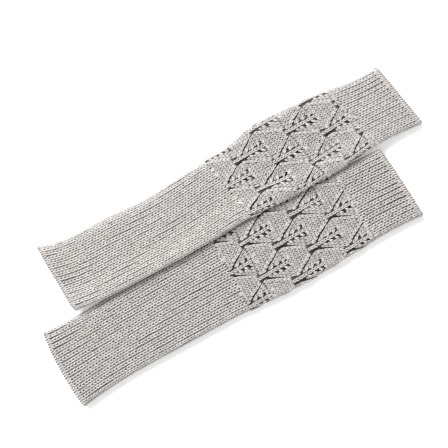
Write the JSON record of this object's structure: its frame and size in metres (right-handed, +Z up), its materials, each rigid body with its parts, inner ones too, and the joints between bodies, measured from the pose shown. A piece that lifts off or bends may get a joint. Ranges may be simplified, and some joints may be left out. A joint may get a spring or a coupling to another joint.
{
  "type": "pair of fingerless gloves",
  "caption": "Pair of long knitted fingerless gloves, ribbed at forearm and hand, with a leaf-lace panel and a thumb slit, laid flat with one edge over the other.",
  "frame": {"origin": "bottom centre of the bounding box, on the surface that the pair lies on", "axes": "+X along both gloves towards the fingers, +Y across from the under glove to the upper glove, +Z up"},
  "size_m": [0.3632, 0.1388, 0.0186],
  "materials": {
    "rib_knit": "soft plied wool-blend yarn in one-by-one rib, light warm grey",
    "lace_knit": "the same yarn in leaf lace on plain stitch, light warm grey",
    "edge_yarn": "the same yarn as a chain of cast-on, bind-off or edging loops",
    "sewing_yarn": "the same yarn sewn as seam, bar tacks and darned tails"
  },
  "bodies": {
    "under_glove": {"under_forearm_edge": "edge_yarn", "under_forearm_rib": "rib_knit", "under_leaf_lace": "lace_knit", "under_hand_rib": "rib_knit", "under_finger_edge": "edge_yarn", "under_thumb_edging": "edge_yarn", "under_thumb_bartacks": "sewing_yarn", "under_seam_below_thumb": "sewing_yarn", "under_seam_above_thumb": "sewing_yarn", "under_yarn_tails": "sewing_yarn"},
    "upper_glove": {"upper_forearm_edge": "edge_yarn", "upper_forearm_rib": "rib_knit", "upper_leaf_lace": "lace_knit", "upper_hand_rib": "rib_knit", "upper_finger_edge": "edge_yarn", "upper_thumb_edging": "edge_yarn", "upper_thumb_bartacks": "sewing_yarn", "upper_seam_below_thumb": "sewing_yarn", "upper_seam_above_thumb": "sewing_yarn", "upper_yarn_tails": "sewing_yarn"}
  },
  "joints": [
    {"name": "upper_glove_lift", "type": "slide", "parent": "under_glove", "child": "upper_glove", "axis": [0, 0, 1], "range_m": [0, 0.15]}
  ]
}
